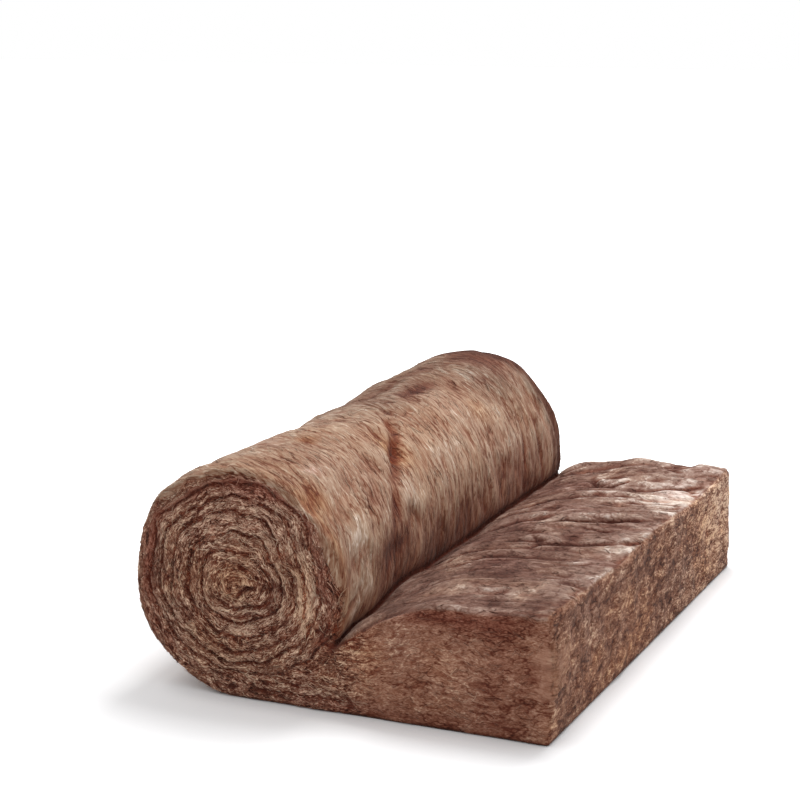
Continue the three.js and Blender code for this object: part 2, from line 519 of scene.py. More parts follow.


# how far a cut side stands out from its plain shape, the depth through its layers, where it gapes and
# gets painted shade, is loose heart, lies inside the lap and is smooth rim
def sideRelief(x, y, z, seed):
    place = np.stack([x, z, y * sideLook["acrossStretch"]], axis=1)
    roll = rollAt(y)
    calm = 1 - sideLook["slabCalm"] * slabShare(x - roll.axis)
    freely = ease(z, 0.0, sideLook["freeFrom"])
    for index, (reach, size) in enumerate(sideLook["wander"]):
        x = x + reach * calm * noise(place, size, seed + index, octaves=1)
        z = z + reach * calm * noise(place, size, seed + 5 + index, octaves=1) * freely
    turn, depth, laid, underSkin = layersAt(x, y, z)
    fromX, fromZ = x - roll.axis, z - roll.radius
    distance, angle = np.hypot(fromX, fromZ), np.degrees(np.arctan2(fromZ, fromX))
    nearSeam = np.abs(turn - np.floor(turn) - 0.5) * 2
    pastCrease = laid & (fromX > roll.creaseX - sideLook["beforeCrease"])
    inRoll = ease(turn, *sideLook["woundFrom"]) * ~pastCrease
    whole, none = (share * sideLook["heartReach"] for share in sideLook["heartBlur"])
    heart = 1 - ease(distance, whole, none)
    wound = inRoll * (1 - heart)
    groove = grooves(place, nearSeam, distance / roll.radius, angle, seed) * wound
    stretch = sideLook["strataStretch"]
    layered = np.stack([depth, x * stretch, z * stretch], axis=1)
    layered = blend(layered, np.stack([x, z, y], axis=1) * sideLook["heartScale"], heart[:, None])
    cracks = bell((noise(layered, sideLook["crackSize"], seed + 18, octaves=2), sideLook["crackWidth"]))
    cracked = noise(place, sideLook["patchSize"], seed + 20, octaves=1)
    cracks = cracks * ease(cracked, *sideLook["crackPatches"])
    tufts = noise(place, sideLook["tuftSize"], seed + 22, octaves=2)
    perTurn, perMetre = sideLook["stepScale"]
    stepPlace = np.stack([np.floor(turn) * perTurn, x * perMetre, z * perMetre], axis=1)
    steps = noise(stepPlace, 1.0, seed + 24, octaves=1)
    hollow = hollowed(fromX, fromZ)
    out = (
        -sideLook["grooveDepth"] * groove
        - sideLook["bulge"] * nearSeam**2 * wound
        + uneven(sideLook["strata"], layered, seed + 15, fade=0.6) * calm
        - sideLook["cracks"] * cracks * calm
        + uneven(sideLook["clumps"], place, seed + 21, octaves=3) * calm
        + uneven(sideLook["swell"], place, seed + 23, octaves=1)
        + sideLook["turnStep"] * steps * wound
        + sideLook["heartTufts"] * (tufts + sideLook["heartRise"]) * heart
        - sideLook["hollowDepth"] * hollow
    )
    inside = insideLap(place, underSkin, angle, seed)
    rim = (1 - ease(underSkin, *sideLook["rimReach"])) * inRoll
    # painted shade in the grooves, the hollow and the cracks
    gape = np.clip(groove + hollow + sideLook["crackShade"] * cracks * calm, 0, 1)
    return out, depth, gape, heart, inside, rim


# tone patches on the near side: x, z, reach in x and in z, tone and warmth
sideTints = [
    (0.0, 0.215, 0.05, 0.05, 0.08, 0.2),
    (0.0, 0.33, 0.14, 0.06, 0.18, 0.0),
    (0.1, 0.215, 0.06, 0.12, 0.18, 0.0),
    (0.03, 0.39, 0.06, 0.02, -0.05, -0.9),
    (0.18, 0.25, 0.02, 0.09, -0.25, -0.9),
    (0.142, 0.2, 0.024, 0.065, 0.75, 0.1),
    (0.106, 0.228, 0.022, 0.045, -0.4, 0.0),
    (0.01, 0.132, 0.045, 0.01, 0.35, -0.2),
    (-0.13, 0.15, 0.03, 0.035, 0.25, -0.3),
    (-0.18, 0.23, 0.025, 0.12, -0.15, -0.6),
    (0.25, 0.09, 0.06, 0.04, 0.1, 0.2),
    (0.28, 0.121, 0.04, 0.025, 0.12, 0.3),
    (0.383, 0.108, 0.05, 0.03, 0.05, 0.3),
    (0.43, 0.205, 0.15, 0.018, -0.3, -0.9),
    (0.54, 0.11, 0.08, 0.09, -0.22, -0.2),
    (0.22, 0.015, 0.3, 0.018, -0.15, -0.6),
    (0.36, 0.11, 0.16, 0.08, 0.25, 0.0),
    (0.59, 0.11, 0.016, 0.11, 0.15, 0.0),
]


# what a list of patches adds up to, in tone and in warmth
def patchSums(first, second, patches):
    tone, warmth = 0 * first, 0 * first
    for middle, other, reach, otherReach, toneHere, warmthHere in patches:
        share = bell((first - middle, reach), (second - other, otherReach))
        tone = tone + toneHere * share
        warmth = warmth + warmthHere * share
    return tone, warmth


rollLook = {
    "lean": 0.35,  # how far the fibres lean from straight round the roll
    "bend": (0.02, 0.16),
    "swell": (0.010, 0.15),
    "lumps": (0.0045, (0.050, 0.090, 1.0)),
    "valleys": 0.0060,
    "valleySize": (0.060, 0.150, 1.0),
    "valleyWidth": 0.13,
    "patchSize": 0.10,  # of the places where valleys open
    "patches": (-0.05, 0.45),
    "folds": (0.0018, (0.024, 0.060, 1.0)),
    "flutes": (0.0060, (0.028, 0.140, 1.0)),  # upright folds near the far end of the crease
    "fluteRound": (0.17, 0.28),  # from its top
    "fluteAlong": (0.35, 0.70),
    "farCalm": 0.45,  # how much smoother it is towards the far end
    "calmAlong": (0.50, 0.75),
    "evenAlong": (1.05, 1.15),  # where its swell calms down too
    "dentPaintedShade": 26.0,  # painted shade: how much darker a metre of dent is painted
    "dentShade": 22.0,  # and how much redder that painted shade is
}
# soft dents: place along the roll, metres round it from the top, the two reaches, how far the dent
# leans along the roll for each metre round it, depth
rollDents = [
    (0.53, 0.085, 0.016, 0.024, 0.6, 0.012),
    (0.445, 0.14, 0.03, 0.032, 1.5, 0.018),
    (0.385, 0.182, 0.04, 0.016, 1.2, 0.005),
    (0.3, 0.24, 0.024, 0.036, 0.9, 0.011),
    (0.25, 0.31, 0.055, 0.04, 0.9, 0.01),
    (0.37, 0.12, 0.045, 0.04, 0.0, -0.005),
    (0.14, 0.225, 0.03, 0.06, 0.4, -0.004),
    (0.205, 0.19, 0.008, 0.06, 1.4, 0.003),
    (0.27, 0.015, 0.012, 0.03, 0.4, 0.005),
    (0.77, 0.035, 0.07, 0.024, 0.0, 0.009),
    (0.82, -0.02, 0.06, 0.012, 0.0, -0.002),
    (0.71, -0.075, 0.1, 0.055, 0.0, 0.013),
    (0.59, 0.21, 0.07, 0.05, 0.0, -0.004),
    (0.975, 0.3, 0.01, 0.05, 0.3, 0.006),
    (1.06, 0.31, 0.012, 0.06, 0.0, 0.008),
    (1.12, 0.2, 0.012, 0.06, 0.0, 0.005),
    (0.02, -0.03, 0.03, 0.04, 0.0, -0.004),
    (0.03, -0.17, 0.06, 0.08, 0.0, -0.005),
    (1.18, 0.115, 0.07, 0.09, 0.0, -0.011),
    (1.19, 0.3, 0.04, 0.05, 0.0, -0.002),
]
# tone patches on the roll: place along it, metres round it from the top, the two reaches, tone, warmth.
# Some of them are painted light and painted shade, marked where they stand
rollTints = [
    (0.445, 0.14, 0.04, 0.05, -0.15, 1.0),
    (0.055, 0.155, 0.025, 0.035, -0.1, 1.0),
    (0.27, 0.015, 0.03, 0.02, -0.2, 1.0),
    (0.13, 0.1, 0.03, 0.018, 0.6, -0.8),
    (0.11, 0.25, 0.04, 0.07, 0.45, 0.1),
    (0.24, 0.31, 0.11, 0.045, -0.55, 0.1),
    # painted light: paler low on the near part beside the crease, as if lit from the laid end
    (0.08, 0.37, 0.06, 0.04, 0.6, 0.1),
    (0.15, 0.395, 0.12, 0.02, 0.35, -0.2),
    (0.39, 0.225, 0.045, 0.036, 0.6, -0.2),
    (0.62, 0.2, 0.06, 0.04, 0.4, -0.2),
    (0.82, 0.16, 0.08, 0.05, 0.05, 0.4),
    (0.77, 0.035, 0.07, 0.028, -0.8, -0.8),
    (0.92, -0.03, 0.1, 0.03, -0.6, -0.6),
    (0.92, 0.185, 0.03, 0.04, 0.3, -0.1),
    (0.92, 0.32, 0.2, 0.055, 0.12, -0.5),
    (1.11, 0.35, 0.03, 0.03, 0.55, 0.8),
    (0.55, 0.34, 0.2, 0.045, -0.25, -0.2),
    (1.12, 0.04, 0.07, 0.07, -0.85, -0.8),
    (1.0, 0.1, 0.06, 0.04, -0.15, 0.0),
    # painted shade: the dark band at the far rim
    (1.195, 0.12, 0.04, 0.3, -1.6, -1.0),
    # painted light: paler low on the near part beside the crease, as if lit from the laid end
    (0.11, 0.345, 0.06, 0.045, 0.55, 0.4),
    (1.0, 0.18, 0.12, 0.08, -0.18, 0.0),
    # painted light: a pale band along the back of the top, for backlit fuzz
    (0.35, -0.07, 0.3, 0.04, 0.4, -0.3),
    (0.02, 0.22, 0.014, 0.2, -0.05, 0.9),
]


# where the roll's wool is greyer: metres along it and round it from its top. The grey band at the far
# rim is painted shade
greyWool = {
    "ragged": (0.02, 0.05),
    "rim": 0.6,  # how grey its far edge is painted, as painted shade
    "rimAlong": (1.115, 1.150),
    "rimMiddle": 0.12,
    "rimRound": 0.26,
    "back": (0.12, 0.50),  # how grey its back is, near and far
    "backAlong": (0.45, 0.65),
    "backRound": (0.0, 0.14),
    "backFoot": (-0.30, -0.10),
    "farTop": 0.55,
    "farTopMiddle": (1.03, 0.08),
    "farTopReach": (0.16, 0.12),
}


def rollGrey(place, y, arc):
    y = y + uneven(greyWool["ragged"], place, 87, octaves=3)
    around = bell((arc - greyWool["rimMiddle"], greyWool["rimRound"]))
    rim = greyWool["rim"] * ease(y, *greyWool["rimAlong"]) * around
    back = blend(*greyWool["back"], ease(y, *greyWool["backAlong"]))
    back = back * (1 - ease(arc, *greyWool["backRound"])) * ease(arc, *greyWool["backFoot"])
    (along, aside), (long, wide) = greyWool["farTopMiddle"], greyWool["farTopReach"]
    farTop = greyWool["farTop"] * bell((y - along, long), (arc - aside, wide))
    return np.maximum(rim, np.maximum(back, farTop))


# metres round the roll from its top, towards the crease
def roundFromTop(x, z, roll):
    return np.arctan2(x - roll.axis, z - roll.radius) * roll.radius


# how deep the roll is dented at a place on it
def rollDented(y, arc):
    total = 0 * y
    for along, around, wide, high, lean, deep in rollDents:
        aside = y - along + lean * (arc - around)
        total = total + deep * bell((aside, wide), (arc - around, high))
    return total


# how far the roll's skin stands out
def rollRelief(at):
    y, arc = at.y, at.arc
    bent = y + rollLook["lean"] * arc + uneven(rollLook["bend"], at.place, 30)
    leaning, upright = (np.stack([along, arc, 0 * y], axis=1) for along in (bent, y))
    along = noise(leaning, rollLook["valleySize"], 39, octaves=2)
    broken = ease(noise(at.place, rollLook["patchSize"], 40, octaves=1), *rollLook["patches"])
    valleys = bell((along, rollLook["valleyWidth"])) * broken
    fluted = ease(arc, *rollLook["fluteRound"]) * ease(y, *rollLook["fluteAlong"])
    calm = 1 - rollLook["farCalm"] * ease(y, *rollLook["calmAlong"])
    even = 1 - rollLook["farCalm"] * ease(y, *rollLook["evenAlong"])
    out = (
        uneven(rollLook["swell"], at.place, 31) * even
        + uneven(rollLook["lumps"], leaning, 37) * calm
        - rollLook["valleys"] * valleys * calm
        + uneven(rollLook["folds"], leaning, 41)
        + uneven(rollLook["flutes"], upright, 34) * fluted
    )
    return out - rollDented(y, arc)


laidLook = {
    "slant": 0.12,  # how far the folds lean towards the near side for each metre outwards
    "bend": (0.022, 0.2),
    "swell": (0.012, (0.15, 0.20, 1.0)),
    "folds": 0.0075,
    "foldSize": (0.075, 0.170, 1.0),
    "creases": 0.0080,  # narrow, at the foot of a fold
    "creaseWidth": 0.10,
    "patchSize": 0.11,  # of the places where they open
    "patches": (0.0, 0.5),
    "plain": 0.45,  # share of the folds that its near part keeps
    "foldsFrom": (0.15, 0.45),
    "ridges": (0.0040, (0.034, 0.075, 1.0)),
    # painted shade in the folds that stand alone, and painted highlight on their lips
    "foldShade": 52.0,
    "nearCalm": 0.12,  # how much smoother the grain of its near part is
    "nearPart": (0.10, 0.35),
    "wander": (0.016, 0.075),  # of the folds that stand alone
    "foldEnds": ((-0.10, 0.25), (0.75, 1.10)),  # shares of its length where one deepens and runs out
    "lip": (0.24, 1.8, 1.6),  # behind such a fold: its share of the depth, breadth and distance
}
# folds that stand alone: the two ends as x, y, how far it bows, its width and depth
laidFolds = [
    (0.35, 0.595, 0.57, 0.68, 0.012, 0.0085, 0.011),
    (0.335, 1.03, 0.425, 1.01, -0.04, 0.01, 0.01),
    (0.25, 0.8, 0.5, 0.88, 0.02, 0.012, 0.006),
    (0.42, 0.94, 0.59, 1.04, -0.01, 0.013, 0.006),
    (0.46, 0.82, 0.59, 0.87, 0.008, 0.01, 0.006),
    (0.29, 0.33, 0.52, 0.39, 0.02, 0.014, 0.005),
    (0.38, 0.465, 0.56, 0.52, -0.01, 0.01, 0.006),
    (0.24, 0.6, 0.38, 0.65, 0.01, 0.012, 0.005),
]
# tone patches on the laid end's top: x, y, the two reaches, tone and warmth
laidTints = [
    (0.464, 0.127, 0.07, 0.025, 0.4, -0.2),
    (0.4, 0.105, 0.05, 0.02, 0.3, 0.1),
    (0.553, 0.168, 0.04, 0.045, 0.35, 0.0),
    (0.47, 0.014, 0.1, 0.01, 0.6, 0.0),
    (0.42, 0.06, 0.15, 0.025, -0.25, -0.2),
    (0.33, 0.09, 0.06, 0.06, 0.1, 0.3),
    (0.594, 0.6, 0.014, 0.7, 0.55, 0.0),
    (0.205, 0.521, 0.06, 0.12, -0.25, -0.7),
    (0.385, 0.332, 0.05, 0.05, -0.4, -0.7),
    (0.274, 0.509, 0.05, 0.05, -0.25, -0.6),
    (0.44, 0.25, 0.12, 0.03, -0.3, -0.5),
    (0.45, 0.57, 0.08, 0.04, -0.2, -0.4),
    (0.27, 0.98, 0.07, 0.05, -0.3, -0.7),
    (0.56, 0.93, 0.05, 0.15, 0.8, -0.3),
    (0.48, 0.86, 0.07, 0.04, 0.45, -0.2),
    (0.48, 1.0, 0.12, 0.12, 0.3, 0.0),
    (0.56, 0.45, 0.03, 0.2, 0.25, -0.3),
    (0.42, 1.14, 0.15, 0.05, 0.3, -0.2),
    (0.34, 0.76, 0.12, 0.04, 0.15, -0.3),
]


# how deep the folds that stand alone are, each with a raised lip behind it
def laidFolded(x, y):
    flat = np.stack([x, y, 0 * x], axis=1)
    lip, breadth, behind = laidLook["lip"]
    deepens, runsOut = laidLook["foldEnds"]
    y = y + uneven(laidLook["wander"], flat, 55)
    total = 0 * x
    for fromX, fromY, toX, toY, bow, wide, deep in laidFolds:
        share = (x - fromX) / (toX - fromX)
        middle = 1 - (2 * share - 1) ** 2
        aside = y - blend(fromY, toY, share) - bow * middle
        ends = ease(share, *deepens) * (1 - ease(share, *runsOut))
        total = total + deep * ends * bell((aside, wide))
        total = total - lip * deep * ends * bell((aside / wide / breadth - behind, 1.0))
    return total


def laidRelief(x, y):
    flat = np.stack([x, y, 0 * x], axis=1)
    bent = y - laidLook["slant"] * x + uneven(laidLook["bend"], flat, 43)
    flat = np.stack([bent, x, 0 * x], axis=1)
    folds = noise(flat, laidLook["foldSize"], 44, octaves=2)
    broken = ease(noise(flat, laidLook["patchSize"], 52, octaves=1), *laidLook["patches"])
    creases = bell((folds, laidLook["creaseWidth"])) * broken
    wrinkled = blend(laidLook["plain"], 1, ease(y, *laidLook["foldsFrom"]))
    out = (
        uneven(laidLook["swell"], flat, 50)
        + laidLook["folds"] * folds * wrinkled
        - laidLook["creases"] * creases * wrinkled
        + uneven(laidLook["ridges"], flat, 46)
    )
    return out - laidFolded(x, y)


endLook = {
    "clumps": (0.0040, (0.055, 0.040, 1.0)),
    "strokes": (0.0012, (0.026, 0.011, 1.0)),
    "wave": (0.008, (0.15, 0.25, 1.0)),
    "flap": 0.006,  # a smooth torn layer laps round the near corner, and stands out by this much
    "flapEdge": (0.022, 0.70),  # its other edge slants: how far that is from the corner at the floor
    "flapFoot": 0.082,  # height of its lower edge at the corner
    "flapClimb": 0.36,
    "flapRagged": (0.010, 0.035),
    "flapEnds": ((0.555, 0.600), (0.155, 0.190)),  # x where it starts, height where it runs out
    "flapBlur": (-0.002, 0.003),
    "flapTone": 0.35,
    "flapShadow": 1.1,
    "shadowLine": (0.0055, 0.004),  # its distance outside the flap and its half width
    "shadowFrom": (0.004, 0.02),  # distance from the corner
    "flapCalm": 0.6,  # how much smoother its wool is
    "cornerLift": 0.008,  # how much higher the wool stands at the near corner
    "corner": ((0.48, 0.57), (0.04, 0.14), (0.10, 0.22)),  # where that starts and is full, in x, y and z
}


# tone patches on the cut end: y, z, the two reaches, tone and warmth
endTints = [
    (0.02, 0.05, 0.02, 0.035, 0.2, 0.0),
    (0.15, 0.195, 0.12, 0.024, -0.15, -0.4),
    (0.273, 0.09, 0.05, 0.022, -0.25, 0.1),
    (0.18, 0.06, 0.08, 0.05, 0.1, 0.6),
    (0.389, 0.15, 0.08, 0.03, 0.1, 0.4),
    (0.48, 0.04, 0.12, 0.04, 0.05, 0.6),
    (0.611, 0.195, 0.06, 0.022, -0.45, 0.0),
    (0.72, 0.15, 0.08, 0.03, -0.35, 0.0),
    (0.657, 0.076, 0.06, 0.03, -0.15, 0.1),
    (0.866, 0.16, 0.05, 0.03, 0.1, 0.3),
    (0.786, 0.21, 0.04, 0.016, 0.35, 0.1),
    (0.96, 0.06, 0.06, 0.05, -0.1, 0.2),
    (1.04, 0.14, 0.11, 0.09, 0.7, 0.0),
    (1.151, 0.166, 0.06, 0.07, 0.8, -0.1),
]


def endRelief(y, z):
    flat = np.stack([y, z, 0 * y], axis=1)
    layers = (("clumps", 61), ("strokes", 64), ("wave", 67))
    return sum(uneven(endLook[name], flat, seed) for name, seed in layers)


# the torn layer at the near corner: where it is, and the shadow along its edge
def tornFlap(x, y, z):
    ragged = uneven(endLook["flapRagged"], np.stack([y, z, 0 * y], axis=1), 69, octaves=3)
    foot = z - endLook["flapFoot"] - endLook["flapClimb"] * y
    start, slant = endLook["flapEdge"]
    inward = np.minimum(foot, (slant * z - start - y) / math.hypot(1, slant)) + ragged
    starts, runsOut = endLook["flapEnds"]
    fades = ease(x, *starts) * (1 - ease(z, *runsOut))
    outside, width = endLook["shadowLine"]
    shadow = bell((inward + outside, width)) * ease(y, *endLook["shadowFrom"])
    return ease(inward, *endLook["flapBlur"]) * fades, shadow * fades


shading = {
    "ragged": (0.18, 0.016),  # how one face's wool gives way to the next
    "sideFrom": (0.40, 0.70),  # of the way to facing sideways
    "flatSideFrom": (0.3, 0.9),
    "endFrom": (0.45, 0.80),
    "endReach": (0.57, 0.595),  # x where the cut end's wool starts and is alone
    "laidFrom": (0.0005, 0.008),  # distance past the roll
    "lapFoot": 0.05,  # height below which no skin laps over the sides
    "cavityRounds": (4, 16),  # how widely the wool is averaged to find its hollows
    "cavityScale": (0.0014, 0.0034),
    "cornerCavity": (0.575, 0.598),  # x where the side's painted hollow shade fades
    "cornerFade": 0.8,
    "creaseReach": 0.030,
    "creaseCut": (0.006, 0.006),  # how much deeper the gap under the roll is, and its reach
    "creaseLeft": 0.25,  # share of the relief that is left in it
    "creaseShadeLine": (0.0031, 0.0095),  # half width of the painted shade line along it, far and near
    "creaseNarrows": 0.10,
    "creaseSag": 0.012,  # how much lower it hangs in places
    "sagReach": 0.04,
    "nearSag": (0.75, 0.13, 0.07),  # how much, where along the roll and how far
    "farSag": ((0.30, 0.42), (0.62, 0.78)),  # where it starts and where it halves
    "creasePaintedShade": 0.12,  # painted shade: how much darker the wool is painted beside it
    "creaseShade": 1.00,  # and how much redder that painted shade is
    # how far the painted shade beside the crease reaches
    "creaseShadeReach": 0.042,
    "laidShadeLess": 0.5,  # how much less of that painted shade the laid end has, and the sides
    "sideShadeLess": 0.6,
    "creaseBreak": (0.49, 0.14),  # where along the roll the painted shade line is faint, and how far that reaches
    "breakCut": 0.5,  # how much shallower the gap is there, and how much fainter the painted shade line
    "breakPale": 0.6,
    "offFloor": 0.030,
    "footShade": 1.4,  # painted contact shadow: how much darker the wool is painted where it meets the floor
    "footShadeHeight": 0.009,
    # how much darker the sides' rim is, and the far side's rim near its top, where that darkening is
    # painted shade
    "rimTone": 0.12,
    "farRimShade": 2.0,
    "farRim": (0.13, 0.20),  # where that painted shade lies: metres round from the top, and its reach
    "rimCool": 0.8,
    "farSideShade": 0.35,  # painted shade: how much darker the far side is painted, to match the near side's shade
    "rimCalm": 0.55,  # how much smoother the wool is just inside the side's edge
    "slabCalm": (0.4, 0.6, 0.25),  # how much smoother the laid end's side is: wisps, grain, threads
    "endCalm": ((0.15, -0.10), (0.20, -0.60)),  # near and far on the cut end: wisps, grain
    "endCalmAlong": ((0.25, 0.90), (0.30, 1.00)),
    "rollCalm": 0.22,  # how much less grain the roll's far part has
    "rollCalmAlong": (0.25, 0.50),
    "drift": (0.36, 0.10),  # of the tone
    "warmDrift": (0.6, 0.14),
    "warmth": {"all": 0.1, "heart": 0.2, "end": 0.25},
    "curl": (0.55, 0.45),  # of the side's grain, and how much more in the heart
    "slabCurl": 0.5,  # how much less it curls on the laid end's side
    "brushed": ((0.72, 0.11), (0.0, 0.05)),  # fibres run along the roll here: place and reach, both ways
    # how much painted hollow shade each kind of face gets
    "hollowShade": {"roll": 0.30, "laid": 0.70, "end": 0.60, "side": 0.90},
    "contrast": {"roll": 0.50, "laid": 0.43, "end": 1.22, "side": 0.64},  # of the wisps
    "fine": {"roll": 0.64, "laid": 0.28, "end": 1.20, "side": 2.05},  # of the finest grain
    "mottle": {"roll": 0.20, "laid": 0.65, "end": 0.60, "side": 0.42},  # of the broad patches
    "threads": {"roll": 0.85, "laid": 0.50, "end": 1.00, "side": 1.60},  # of the thin lines
}


# where each point is, and how far it belongs to each kind of face
def regionsOf(points, normals):
    x, y, z = points.T
    at = SimpleNamespace(x=x, y=y, z=z, place=np.stack([x, y, z], axis=1), roll=rollAt(y))
    at.fromX = x - at.roll.axis
    at.arc = roundFromTop(x, z, at.roll)
    at.fromCrease = np.hypot(at.fromX - at.roll.creaseX, z - at.roll.creaseHeight)
    at.isFar = y > blanket["width"] / 2
    ragged = uneven(shading["ragged"], at.place, 71)
    sideways = np.abs(normals[:, 1])
    pastRoll = np.hypot(at.fromX, z - at.roll.radius) - at.roll.radius
    at.side = ease(sideways + ragged, *shading["sideFrom"])
    at.flatSide = ease(sideways, *shading["flatSideFrom"])
    at.laid = ease(pastRoll, *shading["laidFrom"]) * (at.fromX > 0)
    at.end = ease(normals[:, 0] + ragged, *shading["endFrom"]) * ease(x, *shading["endReach"])
    return at


# how far the roll's wool hangs into the crease
def sagging(at):
    much, middle, reach = shading["nearSag"]
    starts, halves = shading["farSag"]
    sags = much * bell((at.y - middle, reach))
    sags = sags + ease(at.y, *starts) * (1 - 0.5 * ease(at.y, *halves))
    return shading["creaseSag"] * sags * bell((at.fromCrease, shading["sagReach"]))


# the body's points pushed out to the wool's real surface
def shapedPoints(at, points, normals):
    found = np.zeros((6, len(points)))
    for here, seed in ((~at.isFar, 101), (at.isFar, 201)):
        found[:, here] = sideRelief(at.x[here], at.y[here], at.z[here], seed)
    side, at.depth, at.gape, at.heart, inside, at.rim = found
    at.side = at.side * np.where(at.z > shading["lapFoot"], inside, 1)
    skin = blend(rollRelief(at), laidRelief(at.x, at.y), at.laid)
    skin = blend(skin, endRelief(at.y, at.z), at.end)
    skin = skin * blend(shading["creaseLeft"], 1.0, ease(at.fromCrease, 0.0, shading["creaseReach"]))
    middle, reach = shading["creaseBreak"]
    at.faint = bell((at.y - middle, reach))
    deeper, cutReach = shading["creaseCut"]
    cut = deeper * (1 - shading["breakCut"] * at.faint)
    skin = skin - cut * bell((at.fromCrease, cutReach))
    at.out = blend(skin * ease(at.z, 0.0, shading["offFloor"]), side, at.flatSide)
    at.flap, at.flapShadow = tornFlap(at.x, at.y, at.z)
    moved = points + normals * (at.out + endLook["flap"] * at.flap * at.end)[:, None]
    moved[:, 2] -= sagging(at)
    outwards, sideways, upwards = endLook["corner"]
    corner = ease(at.x, *outwards) * (1 - ease(at.y, *sideways)) * ease(at.z, *upwards)
    moved[:, 2] += endLook["cornerLift"] * corner
    moved[:, 2] = np.where(at.z < 1e-6, 0.0, np.maximum(moved[:, 2], 0.0))
    return moved


# painted shade and highlight: how hollow or proud the wool is around each point, which darkens and
# reddens its hollows and pales what stands proud
def hollowShadeOf(at, links):
    hollowShade = np.zeros(len(at.out))
    for rounds, scale in zip(shading["cavityRounds"], shading["cavityScale"]):
        hollowShade += np.clip((smoothed(at.out, links, rounds) - at.out) / scale, -1, 1) / 2
    return hollowShade * (1 - shading["cornerFade"] * ease(at.x, *shading["cornerCavity"]) * at.side)


# painted shade: how much redder and darker the wool is painted beside the crease and in the roll's dents
def paintedRedShade(at):
    shaded = shading["creaseShade"] * at.glow
    shaded = shaded * (1 - shading["laidShadeLess"] * at.laid) * (1 - shading["sideShadeLess"] * at.side)
    return shaded + rollLook["dentShade"] * np.maximum(at.dented, 0)


# how pale and how warm the wool is at its place. Painted shade darkens it beside the crease, in the
# dents and folds, at the foot, at the far rim, beside the torn flap and on the far side; some of the
# roll's patches are painted light and painted shade
def tonesOf(at):
    tone = uneven(shading["drift"], at.place, 81)
    tone = tone - rollLook["dentPaintedShade"] * at.dented
    tone = tone - at.onLaid * laidLook["foldShade"] * laidFolded(at.x, at.y)
    tone = tone - shading["creasePaintedShade"] * (1 - shading["laidShadeLess"] * at.laid) * at.glow
    tone = tone - shading["footShade"] * (1 - ease(at.z, 0.0, shading["footShadeHeight"]))
    # painted shade at the far side's rim
    middle, reach = shading["farRim"]
    atFarRim = at.isFar * bell((at.arc - middle, reach))
    tone = tone - blend(shading["rimTone"], shading["farRimShade"], atFarRim) * at.rim * at.side
    tone = tone + endLook["flapTone"] * at.flap - endLook["flapShadow"] * at.flapShadow
    tone = tone - shading["farSideShade"] * at.side * at.isFar
    levels = shading["warmth"]
    warmth = levels["all"] + uneven(shading["warmDrift"], at.place, 85)
    warmth = warmth + levels["heart"] * at.heart * at.side + levels["end"] * at.onEnd
    warmth = warmth - shading["rimCool"] * at.rim * at.side
    for share, first, second, patches in (
        (at.side * ~at.isFar, at.x, at.z, sideTints),
        (at.onRoll, at.y, at.arc, rollTints),
        (at.onLaid, at.x, at.y, laidTints),
        (at.onEnd, at.y, at.z, endTints),
    ):
        toneHere, warmthHere = patchSums(first, second, patches)
        tone = tone + share * toneHere
        warmth = warmth + share * warmthHere
    return tone, np.clip(warmth, -1, 1)


# how much of the wisps, of the finest grain and of the threads shows
def liveliness(at):
    slab = slabShare(at.fromX) * at.side
    lively = (1 - endLook["flapCalm"] * at.flap) * (1 - shading["rimCalm"] * at.rim * at.side)
    nearLaid = at.onLaid * (1 - ease(at.y, *laidLook["nearPart"]))
    lively = lively * (1 - laidLook["nearCalm"] * nearLaid)
    slabWisps, slabGrain, slabThreads = shading["slabCalm"]
    wispCalm, grainCalm = (
        blend(*calm, ease(at.y, *along))
        for calm, along in zip(shading["endCalm"], shading["endCalmAlong"])
    )
    wisps = lively * (1 - slabWisps * slab) * (1 - at.onEnd * wispCalm)
    rollCalm = shading["rollCalm"] * at.onRoll * ease(at.y, *shading["rollCalmAlong"])
    grain = lively * (1 - slabGrain * slab) * (1 - rollCalm) * (1 - at.onEnd * grainCalm)
    return wisps, grain, wisps * (1 - slabThreads * slab)


def byRegion(at, levels):
    skin = blend(levels["roll"], levels["laid"], at.laid)
    return blend(blend(skin, levels["end"], at.end), levels["side"], at.side)


